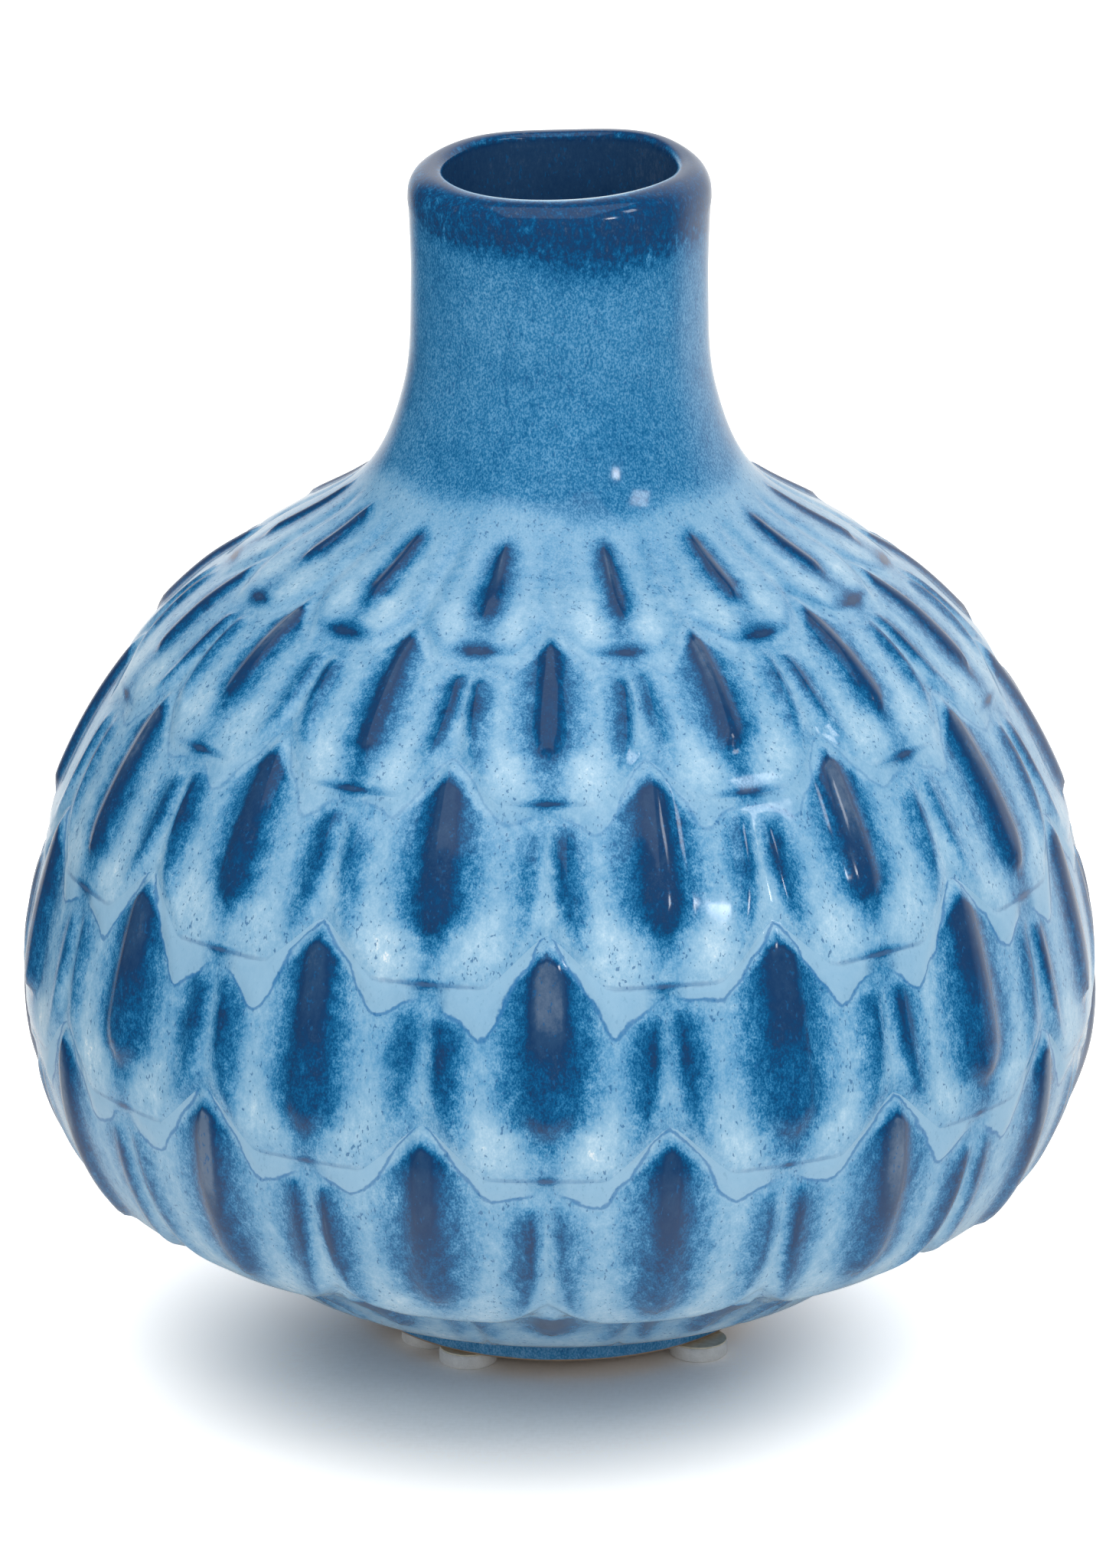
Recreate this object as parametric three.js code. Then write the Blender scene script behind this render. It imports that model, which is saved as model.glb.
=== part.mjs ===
// Ceramic bud vase: a squat bulb under a straight, narrow neck. The bulb is covered in six staggered
// rows of overlapping petals that point down, each with a raised midrib. The vase is one slip-cast,
// glazed shell, and it stands on four felt bumpers, each held on by a disc of adhesive.
//
// Millimetres, +Z up. The origin is on the axis, on the surface that the vase stands on.
// Angles are measured about +Z from the front, which is -Y, towards +X.
import * as THREE from 'three';

// Driving dimensions of the shell
const PETALS_PER_ROW = 14;
const COLUMNS_PER_PETAL = 8;
const FACETS = PETALS_PER_ROW * COLUMNS_PER_PETAL;
const HALF_PETAL = Math.PI / PETALS_PER_ROW;
const SHELL_THICKNESS = 4.6;

// Outer wall without its petals, from below the lip down to the foot, as [radius, height]
const WALL_OUTLINE = [
  [20.2, 160.2],
  [19.8, 146.0],
  [20.8, 131.8],
  [26.3, 119.3],
  [38.9, 110.4],
  [49.3, 103.0],
  [58.7, 92.1],
  [65.4, 79.8],
  [69.7, 66.1],
  [71.8, 52.1],
  [70.5, 38.1],
  [63.3, 25.2],
  [49.7, 16.6],
  [39.4, 9.8],
  [28.4, 5.2],
];

// Petal rows from the shoulder down. "tip" is how far down the wall the petal's tip lies, "rise" is
// how far the edge climbs from the tip to the groove between two petals, and "step" is how far the
// tip stands out over the row below. A staggered row has its grooves over the next row's midribs.
const PETAL_ROWS = [
  { tip: 63.2, rise: 6.0, step: 0.9, staggered: true },
  { tip: 85.0, rise: 7.0, step: 0.9, staggered: false },
  { tip: 109.0, rise: 8.0, step: 0.8, staggered: true },
  { tip: 134.3, rise: 8.0, step: 0.9, staggered: false },
  { tip: 164.5, rise: 8.5, step: 1.6, staggered: true },
  { tip: 186.0, rise: 0.0, step: 0.5, staggered: false },
];
const FIRST_ROW_START = 42.0;
const STEP_RUN = 0.9;
const PETAL_FRACTIONS = [0, 0.3, 0.7, 1];
const TIP_FLAT = 0.48;
const EDGE_POWER = 1.1;
const LOBE_POWER = 1.2;
const GROOVE_LOSS = 0.25;
const MIDRIB_HEIGHT = 0.7;
const MIDRIB_HALF_WIDTH = 0.2;
const MIDRIB_START = 0.25;
const MIDRIB_FADE = [0.7, 0.9];

// Neck and lip. The lip's section is [radius, height] points over its rounded outer shoulder and its
// nearly flat top to its narrow inner edge. It is hand-finished, so it sits slightly tilted.
const NECK_RINGS = 5;
const NECK_START = 2.6;
const LIP_OUTLINE = [
  [20.05, 159.4],
  [19.3, 160.9],
  [17.9, 161.8],
  [16.5, 161.95],
  [15.6, 161.3],
  [15.45, 159.0],
];
const LIP_TOP = 162.0;
const LIP_TILT_SIDE = 0.38;
const LIP_TILT_FRONT = -0.5;
const LIP_TILT_START = 146.0;

// Hollow inside: it follows the wall down to a flat floor
const HOLLOW_RINGS = 10;
const HOLLOW_START = 9;
const HOLLOW_END = 184;
const FLOOR_RADIUS = 22;
const FLOOR_HEIGHT = 8.6;

// Underside: a flat ring of bare clay around a shallow recess
const FOOT_HEIGHT = 2.2;
const FOOT_RADIUS = 27.3;
const FOOT_EDGE = 1.3;
const FOOT_WALL_TOP = 4.8;
const RECESS_RADIUS = 15.5;
const RECESS_DEPTH = 1.4;

// Felt bumpers and their adhesive, at [x, y] under the foot ring
const BUMPER_RADIUS = 4.0;
const FELT_THICKNESS = 2.0;
const ADHESIVE_RADIUS = 3.8;
const BUMPER_FACETS = 24;
const BUMPER_PLACES = {
  front_left: [-11.9, -20.3],
  front_right: [19.3, -16.9],
  left: [-17.3, -12.8],
  back: [1.0, 22.6],
};

const wall = new THREE.SplineCurve(WALL_OUTLINE.map(([r, z]) => new THREE.Vector2(r, z)));
wall.arcLengthDivisions = 1200;
const wallLength = wall.getLength();

// A point at a distance down the wall from its top, raised off the plain wall by "height"
function wallPoint(distance, height) {
  const along = Math.min(distance / wallLength, 1);
  const place = wall.getPointAt(along);
  const tangent = wall.getTangentAt(along);
  return new THREE.Vector2(place.x - tangent.y * height, place.y + tangent.x * height);
}

// Position across a petal: 0 on its midrib, 1 or -1 in the grooves beside it
function acrossPetal(row, angle) {
  const shifted = angle - (row.staggered ? HALF_PETAL : 0);
  const pitch = 2 * HALF_PETAL;
  return (shifted - pitch * Math.round(shifted / pitch)) / HALF_PETAL;
}

function petalEdge(row, angle) {
  const outwards = Math.max(Math.abs(acrossPetal(row, angle)) - TIP_FLAT, 0) / (1 - TIP_FLAT);
  return row.tip - row.rise * outwards ** EDGE_POWER;
}

// How far a petal stands out of the plain wall, at a fraction of the way down its visible length
function petalHeight(row, fraction, angle) {
  const across = acrossPetal(row, angle);
  const lobe = row.step * fraction ** LOBE_POWER * (1 - GROOVE_LOSS * across ** 2);
  const growth = THREE.MathUtils.smoothstep(fraction, 0, MIDRIB_START);
  const fade = 1 - THREE.MathUtils.smoothstep(fraction, MIDRIB_FADE[0], MIDRIB_FADE[1]);
  const rib = MIDRIB_HEIGHT * Math.exp(-((across / MIDRIB_HALF_WIDTH) ** 2)) * growth * fade;
  return lobe + rib;
}

// Every ring is a function from an angle to the [radius, height] point at that angle.
function plainRing(radius, height) {
  return () => new THREE.Vector2(radius, height);
}

function petalRing(rowIndex, fraction) {
  const row = PETAL_ROWS[rowIndex];
  return (angle) => {
    const above = PETAL_ROWS[rowIndex - 1];
    const start = above ? petalEdge(above, angle) + STEP_RUN : FIRST_ROW_START;
    const distance = THREE.MathUtils.lerp(start, petalEdge(row, angle), fraction);
    return wallPoint(distance, petalHeight(row, fraction, angle));
  };
}

// Tilts the top of the neck: no change at LIP_TILT_START, all of it at the lip
function tilted(ring) {
  return (angle) => {
    const point = ring(angle);
    const share = Math.max(point.y - LIP_TILT_START, 0) / (LIP_TOP - LIP_TILT_START);
    point.y += share * (LIP_TILT_SIDE * Math.sin(angle) + LIP_TILT_FRONT * Math.cos(angle));
    return point;
  };
}

// The shell's rings in one run: the underside, up the outside, over the lip and down the inside
function shellRings() {
  const rings = [
    plainRing(0, FOOT_HEIGHT + RECESS_DEPTH),
    plainRing(RECESS_RADIUS, FOOT_HEIGHT + RECESS_DEPTH),
    plainRing(RECESS_RADIUS + RECESS_DEPTH, FOOT_HEIGHT),
    plainRing(FOOT_RADIUS - FOOT_EDGE, FOOT_HEIGHT),
    plainRing(FOOT_RADIUS, FOOT_HEIGHT + FOOT_EDGE),
    plainRing(FOOT_RADIUS, FOOT_WALL_TOP),
    () => wallPoint(wallLength, 0),
  ];
  for (let row = PETAL_ROWS.length - 1; row >= 0; row -= 1) {
    for (const fraction of [...PETAL_FRACTIONS].reverse()) {
      rings.push(petalRing(row, fraction));
    }
  }
  for (let i = NECK_RINGS - 1; i >= 0; i -= 1) {
    const distance = THREE.MathUtils.lerp(NECK_START, FIRST_ROW_START, i / NECK_RINGS);
    rings.push(tilted(() => wallPoint(distance, 0)));
  }
  for (const [radius, height] of LIP_OUTLINE) {
    rings.push(tilted(plainRing(radius, height)));
  }
  for (let i = 0; i < HOLLOW_RINGS; i += 1) {
    const distance = THREE.MathUtils.lerp(HOLLOW_START, HOLLOW_END, i / (HOLLOW_RINGS - 1));
    rings.push(tilted(() => wallPoint(distance, -SHELL_THICKNESS)));
  }
  rings.push(plainRing(FLOOR_RADIUS, FLOOR_HEIGHT));
  rings.push(plainRing(0, FLOOR_HEIGHT));
  return rings;
}

// A lathe of the rings at the front, with every vertex then moved to its ring's point at its angle
function ringedLathe(rings) {
  const geometry = new THREE.LatheGeometry(rings.map((ring) => ring(0)), FACETS);
  const position = geometry.getAttribute('position');
  for (let column = 0; column <= FACETS; column += 1) {
    const angle = (2 * Math.PI * (column % FACETS)) / FACETS;
    rings.forEach((ring, index) => {
      const point = ring(angle);
      const vertex = column * rings.length + index;
      position.setXYZ(vertex, point.x * Math.sin(angle), point.y, point.x * Math.cos(angle));
    });
  }
  geometry.rotateX(Math.PI / 2);
  return geometry;
}

function disc(radius, thickness) {
  const geometry = new THREE.CylinderGeometry(radius, radius, thickness, BUMPER_FACETS);
  geometry.rotateX(Math.PI / 2);
  geometry.translate(0, 0, thickness / 2);
  return geometry;
}

const glaze = new THREE.MeshStandardMaterial({ color: 0x5f93c0, roughness: 0.15, metalness: 0 });
const felt = new THREE.MeshStandardMaterial({ color: 0xe4e2dd, roughness: 0.95, metalness: 0 });
const adhesive = new THREE.MeshStandardMaterial({ color: 0xcfc8b4, roughness: 0.6, metalness: 0 });

function named(name, geometry, material) {
  const mesh = new THREE.Mesh(geometry, material);
  mesh.name = name;
  return mesh;
}

const vase = new THREE.Group();
vase.add(named('vase_body', ringedLathe(shellRings()), glaze));

for (const [place, [x, y]] of Object.entries(BUMPER_PLACES)) {
  const bumper = new THREE.Group();
  const film = named(`adhesive_disc_${place}`, disc(ADHESIVE_RADIUS, FOOT_HEIGHT - FELT_THICKNESS), adhesive);
  film.position.z = FELT_THICKNESS;
  bumper.add(named(`felt_pad_${place}`, disc(BUMPER_RADIUS, FELT_THICKNESS), felt), film);
  bumper.position.set(x, y, 0);
  vase.add(bumper);
}

export default vase;
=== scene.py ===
# Looks of the ceramic bud vase: a finely carved, glazed body, felt bumpers and a pale studio.
# Shapes are worked out in millimetres, as in the CAD model, and written to Blender in metres.
# Angles are measured about +Z from the front, which is -Y, towards +X.

import math

import bpy
import numpy as np
from mathutils import Matrix, Vector


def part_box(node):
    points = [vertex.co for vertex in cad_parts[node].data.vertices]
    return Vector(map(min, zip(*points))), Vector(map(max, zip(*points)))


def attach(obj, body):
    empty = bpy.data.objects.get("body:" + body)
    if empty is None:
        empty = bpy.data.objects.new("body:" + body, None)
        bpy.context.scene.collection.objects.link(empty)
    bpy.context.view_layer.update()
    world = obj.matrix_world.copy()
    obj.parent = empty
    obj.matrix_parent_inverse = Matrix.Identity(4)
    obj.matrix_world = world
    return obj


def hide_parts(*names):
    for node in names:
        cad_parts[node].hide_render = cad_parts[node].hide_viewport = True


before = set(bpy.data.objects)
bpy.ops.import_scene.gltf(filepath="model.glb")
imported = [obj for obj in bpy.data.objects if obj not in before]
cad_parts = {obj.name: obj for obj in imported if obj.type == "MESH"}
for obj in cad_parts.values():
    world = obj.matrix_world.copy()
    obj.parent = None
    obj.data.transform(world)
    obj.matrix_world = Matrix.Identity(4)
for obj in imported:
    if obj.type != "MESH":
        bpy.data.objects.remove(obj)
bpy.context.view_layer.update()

MM = 0.001
SEED = 14

# ---------------------------------------------------------------- driving dimensions of the vase

PETALS_PER_ROW = 14
COLUMNS_PER_PETAL = 32
COLUMNS = PETALS_PER_ROW * COLUMNS_PER_PETAL
HALF_PETAL = math.pi / PETALS_PER_ROW
SHELL_THICKNESS = 4.6

# The outer wall without its petals, from below the lip down to the foot, as (radius, height)
WALL_OUTLINE = (
    (20.2, 160.2),
    (19.8, 146.0),
    (20.8, 131.8),
    (26.3, 119.3),
    (38.9, 110.4),
    (49.3, 103.0),
    (58.7, 92.1),
    (65.4, 79.8),
    (69.7, 66.1),
    (71.8, 52.1),
    (70.5, 38.1),
    (63.3, 25.2),
    (49.7, 16.6),
    (39.4, 9.8),
    (28.4, 5.2),
)
WALL_SAMPLES = 1600

FIRST_ROW_START = 42.0
TIP_FLAT = 0.48
EDGE_POWER = 1.1
APEX_ROUNDING = 0.1
APEX_POWER = 9
RING_SPACING = 1.15

# Petal rows from the shoulder down. Lengths run down the wall from its top, in millimetres.
#   tip, rise, step   the petal's tip, the climb of its edge to the grooves, its height over the row below
#   run               the length of the slope from its edge down to the row below
#   rib, width        where the midrib starts and ends, and how wide it is for its size
#   fade, core        how much the midrib's lower half lightens, and how bare its crest is
#   between           how much blue lies between two petals
#   smear             how blue the run of glaze from the midrib down to the tip is
#   mark              half width and half height of the bare mark on the petal's tip
#   rim               how dark the line along the petal's rim is
#   pool              how strongly opaque glaze pools under its tip
PETAL_ROWS = (
    dict(tip=63.2, rise=6.0, step=0.5, run=2.2, staggered=True, rib=(44.5, 56.5), width=0.75, fade=0.0,
         core=0.9, between=0.12, smear=0.28, mark=(2.3, 0.6), rim=0.0, pool=0.1),
    dict(tip=85.0, rise=7.0, step=0.6, run=2.0, staggered=False, rib=(59.6, 79.0), width=0.85, fade=0.0,
         core=0.9, between=0.12, smear=0.26, mark=(2.0, 0.34), rim=0.15, pool=0.4),
    dict(tip=109.0, rise=8.0, step=0.7, run=1.3, staggered=True, rib=(79.8, 103.5), width=1.0, fade=0.1,
         core=0.8, between=0.1, smear=0.12, mark=(1.4, 0.3), rim=0.5, pool=1.0),
    dict(tip=134.3, rise=8.0, step=0.8, run=1.3, staggered=False, rib=(102.8, 129.0), width=1.15, fade=0.7,
         core=0.9, between=0.16, smear=0.12, mark=(0.7, 0.25), rim=0.4, pool=1.0),
    dict(tip=164.5, rise=8.5, step=1.5, run=3.2, staggered=True, rib=(128.2, 157.0), width=0.9, fade=0.85,
         core=1.3, between=0.08, smear=0.1, mark=(0.1, 0.1), rim=0.15, pool=0.9),
    dict(tip=186.0, rise=0.0, step=0.4, run=3.0, staggered=False, rib=(158.5, 178.0), width=0.9, fade=1.0,
         core=0.3, between=0.1, smear=0.0, mark=(0.1, 0.1), rim=0.0, pool=0.0),
)

# ---------------------------------------------------------------- small maths


def smoothstep(value, low, high):
    share = np.clip((value - low) / (high - low), 0.0, 1.0)
    return share * share * (3.0 - 2.0 * share)


def bell(value, width):
    return np.exp(-((value / width) ** 2))


def spline(points, samples):
    """A uniform Catmull-Rom curve through the points."""
    corners = np.array(points, float)
    last = len(corners) - 1
    place = np.linspace(0, last, samples)
    first = np.minimum(place.astype(int), last - 1)
    share = (place - first)[:, None]
    before = corners[np.maximum(first - 1, 0)]
    start = corners[first]
    end = corners[first + 1]
    after = corners[np.minimum(first + 2, last)]
    leave = (end - before) / 2
    arrive = (after - start) / 2
    cubic = (2 * start - 2 * end + leave + arrive) * share**3
    square = (3 * end - 3 * start - 2 * leave - arrive) * share**2
    return cubic + square + leave * share + start


class Wall:
    """The plain outer wall, read by the distance down it from its top."""

    def __init__(self):
        curve = spline(WALL_OUTLINE, WALL_SAMPLES)
        steps = np.hypot(*np.diff(curve, axis=0).T)
        self.down = np.concatenate([[0.0], np.cumsum(steps)])
        self.length = self.down[-1]
        self.radii, self.heights = curve.T
        slope_r, slope_z = np.gradient(curve, axis=0).T
        size = np.hypot(slope_r, slope_z)
        self.out_r = -slope_z / size
        self.out_z = slope_r / size

    def radius(self, down):
        return np.interp(down, self.down, self.radii)

    def point(self, down, raised):
        radius = self.radius(down) + raised * np.interp(down, self.down, self.out_r)
        height = np.interp(down, self.down, self.heights) + raised * np.interp(down, self.down, self.out_z)
        return radius, height


wall = Wall()
angles = 2 * math.pi * np.arange(COLUMNS) / COLUMNS

# ---------------------------------------------------------------- hand-made variation


class Hand:
    """Seeded differences between petals: one value for each petal or half petal, row by row."""

    def __init__(self, seed):
        random = np.random.default_rng(seed)
        rows = len(PETAL_ROWS)
        self.petal = random.uniform(-1, 1, (6, rows, PETALS_PER_ROW))
        self.half = random.uniform(-1, 1, (6, rows, 2 * PETALS_PER_ROW))

    def by_petal(self, kind, row, angle):
        shifted = angle - HALF_PETAL * PETAL_ROWS[row]["staggered"]
        index = np.round(shifted / (2 * HALF_PETAL)).astype(int) % PETALS_PER_ROW
        return self.petal[kind, row, index]

    def by_half(self, kind, row, angle):
        index = np.floor(angle / HALF_PETAL + 1e-6).astype(int) % (2 * PETALS_PER_ROW)
        return self.half[kind, row, index]


hand = Hand(SEED)


def across(row, angle):
    """Position across a petal: 0 on its midrib, 1 or -1 in the grooves beside it."""
    shifted = angle - HALF_PETAL * PETAL_ROWS[row]["staggered"]
    pitch = 2 * HALF_PETAL
    return (shifted - pitch * np.round(shifted / pitch)) / HALF_PETAL


def petal_edge(row, angle):
    outwards = np.clip((np.abs(across(row, angle)) - TIP_FLAT) / (1 - TIP_FLAT), 0, 1)
    climb = outwards**EDGE_POWER - APEX_ROUNDING * outwards**APEX_POWER
    return PETAL_ROWS[row]["tip"] - PETAL_ROWS[row]["rise"] * climb


def row_start(row, angle):
    if row == 0:
        return np.full_like(angle, FIRST_ROW_START)
    return petal_edge(row - 1, angle) + PETAL_ROWS[row - 1]["run"]


# Opaque glaze runs off each petal's edge. It reaches furthest either side of the tip, like two lobes.
POOL_TURN = 0.42
POOL_TURN_SPREAD = 0.07
POOL_DEPTH = 5.0
POOL_DEPTH_SPREAD = 0.42
POOL_CREST = 0.92
POOL_CREST_SLOPE = 0.3
SHALLOWEST_POOL = 0.4
BRIDGE_DEPTH = 1.6
INNER_POWER = 1.5
OUTER_POWER = 1.25
LINE_GAP = 0.3


def pool_line(row, angle):
    """How far down the wall the glaze that runs off this row's petals reaches."""
    place = np.abs(across(row, angle))
    turn = POOL_TURN + POOL_TURN_SPREAD * hand.by_half(0, row, angle)
    depth = POOL_DEPTH * (1 + POOL_DEPTH_SPREAD * hand.by_half(1, row, angle))
    inner = BRIDGE_DEPTH + (depth - BRIDGE_DEPTH) * np.clip(place / turn, 0, 1) ** INNER_POWER
    outer = depth * np.clip((1 - place) / (1 - turn), 0, 1) ** OUTER_POWER
    reach = np.where(place < turn, inner, outer)
    crest = POOL_CREST * depth
    rounded = np.minimum(reach, crest + POOL_CREST_SLOPE * (reach - crest))
    strength = SHALLOWEST_POOL + (1 - SHALLOWEST_POOL) * PETAL_ROWS[row]["pool"]
    return petal_edge(row, angle) + LINE_GAP + rounded * strength


# ---------------------------------------------------------------- one petal's relief and glaze

# Ribs have their full size on petals at least this wide from midrib to groove
FULL_HALF_PITCH = 16.0
MIDRIB_HEIGHT = 0.95
MIDRIB_HALF_WIDTH = 2.5
MIDRIB_WIDENING = 0.7
MIDRIB_SMALLEST = 0.42
MIDRIB_POINT_SHARE = 0.16
MIDRIB_ROUND_SHARE = 0.2
MIDRIB_SPREAD = dict(start=0.6, end=1.7, size=0.13, sideways=0.55)
SIDE_RIB_HEIGHT = 0.65
SIDE_RIB_HALF_WIDTH = 1.3
SIDE_RIB_SMALLEST = 0.5
SIDE_RIB_START = 3.6
SIDE_RIB_END = 3.2
SIDE_RIB_SPREAD = dict(start=0.8, strength=0.25)
GROOVE_DEPTH = 0.3
GROOVE_HALF_WIDTH = 1.1
ROLLED_EDGE = 2.6
POOL_THICKNESS = 0.4
FAR = 4.0

# How thin the glaze lies: 0 where it is thickest, about 1 where it is thin and navy, more over bare clay
PETAL_THINNESS = 0.26
TIP_THICKER = 0.1
FRINGE_THINNESS = 0.68
FRINGE_REACH = 3.6
BODY_THINNESS = 0.33
BARE_THINNESS = 0.22
BARE_SPREAD = 0.18
SIDE_RIB_THINNESS = 0.84
FRINGE_INWARDS = 3.3
FRINGE_TO_GROOVE = 1.5
GROOVE_THICKER = 0.07
LOBE_PALENESS = 0.05
LOBE_PLACE = 0.42


def midrib(row, angle, down):
    """(raised height, distance inside the midrib's outline) of the teardrop down the petal's middle."""
    spec = PETAL_ROWS[row]
    spread = MIDRIB_SPREAD
    start, end = spec["rib"]
    end = end + spread["end"] * hand.by_petal(0, row, angle)
    start = start + spread["start"] * hand.by_petal(1, row, angle)
    half_pitch = wall.radius(down) * HALF_PETAL
    size = np.clip(half_pitch / FULL_HALF_PITCH, MIDRIB_SMALLEST, 1.0)
    size = size * (1 + spread["size"] * hand.by_petal(2, row, angle))
    sideways = across(row, angle) * half_pitch - spread["sideways"] * size * hand.by_petal(3, row, angle)
    along = (down - start) / (end - start)
    inside = np.clip(along, 0, 1)
    body = (MIDRIB_HALF_WIDTH + MIDRIB_WIDENING * inside) * size * spec["width"]
    point = np.sqrt(np.clip(inside / MIDRIB_POINT_SHARE, 0, 1))
    past = np.clip((inside - 1 + MIDRIB_ROUND_SHARE) / MIDRIB_ROUND_SHARE, 0, 1)
    half_width = body * point * np.sqrt(np.clip(1 - past**2, 0, 1))
    beyond = np.maximum(start - down, 0) + np.maximum(down - end, 0)
    within = np.where(beyond > 0, -np.hypot(sideways, beyond), half_width - np.abs(sideways))
    crest = smoothstep(within, -0.9 * size, 2.2 * size)
    return MIDRIB_HEIGHT * size * crest, within, size, along


def side_rib(row, angle, down):
    """(strength, distance to its crest, width scale) of the rib that runs beside each groove."""
    if row == 0:
        nothing = np.zeros_like(down)
        return nothing, nothing + 2 * FAR, nothing + 1.0
    spread = SIDE_RIB_SPREAD
    start = PETAL_ROWS[row - 1]["tip"] + SIDE_RIB_START + spread["start"] * hand.by_half(2, row, angle)
    end = PETAL_ROWS[row]["tip"] - SIDE_RIB_END
    along = np.clip((down - start) / (end - start), 0, 1)
    half_pitch = wall.radius(down) * HALF_PETAL
    size = np.clip(half_pitch / FULL_HALF_PITCH, SIDE_RIB_SMALLEST, 1.0)
    from_groove = (1 - np.abs(across(row, angle))) * half_pitch
    crest_place = (2.0 + 0.9 * along + 3.0 * along**4) * size
    swell = np.sin(math.pi * along**0.6) ** 0.6
    strength = swell * (1 - spread["strength"] * (1 - hand.by_half(3, row, angle)))
    return strength, from_groove - crest_place, size


def rib_glaze(spec, row, angle, within, size, along):
    """How thin the glaze lies over a midrib: bare at the crest, navy, then a deep blue fringe."""
    outside = np.maximum(-within, 0) / (FRINGE_REACH * size)
    fringe = FRINGE_THINNESS * np.exp(-(outside**1.25))
    spared = spec["fade"] * (1 + 0.3 * hand.by_petal(4, row, angle)) * smoothstep(along, 0.3, 0.75)
    body = BODY_THINNESS * np.clip(within / size, 0, 1) * (1 - spared)
    crest = smoothstep(within, 0.6 * size, 1.8 * size) * (1 - smoothstep(along, 0.3, 0.85))
    bare = crest * spec["core"] * (BARE_THINNESS + BARE_SPREAD * hand.by_petal(5, row, angle))
    return fringe + body + bare


def petal_surface(row, angle, down, share):
    """Height and glaze fields of one row at an angle, a distance down the wall and a share of the petal."""
    spec = PETAL_ROWS[row]
    place = across(row, angle)
    half_pitch = wall.radius(down) * HALF_PETAL
    to_edge = petal_edge(row, angle) - down
    from_start = down - row_start(row, angle)
    from_groove = (1 - np.abs(place)) * half_pitch

    rib_height, rib_within, size, rib_along = midrib(row, angle, down)
    side_strength, side_distance, side_size = side_rib(row, angle, down)

    rolled = 1 - 0.5 * np.clip(1 - to_edge / ROLLED_EDGE, 0, 1) ** 2
    height = spec["step"] * share**1.2 * (1 - 0.25 * place**2) * rolled
    height = height + rib_height
    height = height + SIDE_RIB_HEIGHT * side_strength * bell(side_distance, SIDE_RIB_HALF_WIDTH * side_size)
    groove = bell(from_groove, GROOVE_HALF_WIDTH * side_size) * smoothstep(share, 0.0, 0.3)
    height = height - GROOVE_DEPTH * groove

    base = PETAL_THINNESS - TIP_THICKER * smoothstep(share, 0.3, 0.9)
    base = base + spec["between"] * smoothstep(np.abs(place), 0.5, 0.95)
    apart = smoothstep(from_start, 0.2, 2.4) if row > 0 else smoothstep(from_start, 0.0, 1.0)
    over_rib = rib_glaze(spec, row, angle, rib_within, size, rib_along) * apart
    fringe = np.where(side_distance > 0, FRINGE_INWARDS, FRINGE_TO_GROOVE) * side_size
    over_side = SIDE_RIB_THINNESS * side_strength * np.exp(-((np.abs(side_distance) / fringe) ** 1.6))
    bare = (0.3 + 0.2 * hand.by_half(4, row, angle)) * spec["core"]
    over_side = over_side + bare * side_strength**2 * bell(side_distance + 0.25, 0.5 * side_size)
    ridge = np.maximum(over_rib, over_side)
    thin = base + np.clip(ridge - 0.12, 0, None) * (1 - base * 0.55)
    thin = thin + 0.7 * spec["between"] * bell(to_edge - 0.5, 2.0)
    thin = thin + spec["smear"] * bell(place * half_pitch, 2.2) * smoothstep(share, 0.6, 0.95)
    thin = thin - GROOVE_THICKER * groove * (1 - side_strength * bell(side_distance, 1.0))
    thin = thin - LOBE_PALENESS * bell(np.abs(place) - LOBE_PLACE, 0.2) * smoothstep(share, 0.35, 0.8)

    pool_distance = np.full_like(down, FAR)
    pool_mask = np.zeros_like(down)
    if row > 0:
        above = PETAL_ROWS[row - 1]
        line = pool_line(row - 1, angle)
        slope = np.gradient(line, axis=-1) / (half_pitch * 2 / COLUMNS_PER_PETAL)
        pool_distance = (down - line) / np.sqrt(1 + slope**2)
        bridge = np.abs(across(row - 1, angle)) * half_pitch
        pool_mask = above["pool"] * smoothstep(bridge, 1.2, 3.0)
        height = height + POOL_THICKNESS * pool_mask * smoothstep(-pool_distance, -0.2, 1.6)
    return dict(down=down, raised=height, thin=thin, pool_distance=np.clip(pool_distance, -FAR, FAR),
                pool_mask=pool_mask)


def rim_fields(row, angle, down):
    """Distances to the nearest petal rim and to that petal's middle, and what the rim there carries."""
    own = np.abs(petal_edge(row, angle) - down)
    half_pitch = wall.radius(down) * HALF_PETAL
    fields = dict(rim_distance=own, beside=np.abs(across(row, angle)) * half_pitch)
    owner = np.full(np.shape(down), row)
    if row > 0:
        upper = np.abs(down - petal_edge(row - 1, angle))
        closer = upper < own
        beside = np.abs(across(row - 1, angle)) * half_pitch
        fields["rim_distance"] = np.where(closer, upper, own)
        fields["beside"] = np.where(closer, beside, fields["beside"])
        owner = np.where(closer, row - 1, row)
    fields["rim_distance"] = np.clip(fields["rim_distance"], 0, FAR)
    sizes = np.array([spec["mark"] for spec in PETAL_ROWS])[owner]
    rims = np.array([spec["rim"] for spec in PETAL_ROWS])[owner]
    rims = rims * (1 - smoothstep(fields["beside"] / half_pitch, 0.3, 0.62))
    size = 1 + 0.3 * hand.by_petal(1, row, angle)
    fields["mark_width"] = sizes[..., 0] * size
    fields["mark_height"] = sizes[..., 1] * size
    fields["rim"] = rims
    return fields


# ---------------------------------------------------------------- the whole vase, ring by ring

# Extra rings on the slope from a petal's edge down to the row below
STEP_SHARES = (0.25, 0.5, 0.75)
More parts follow.
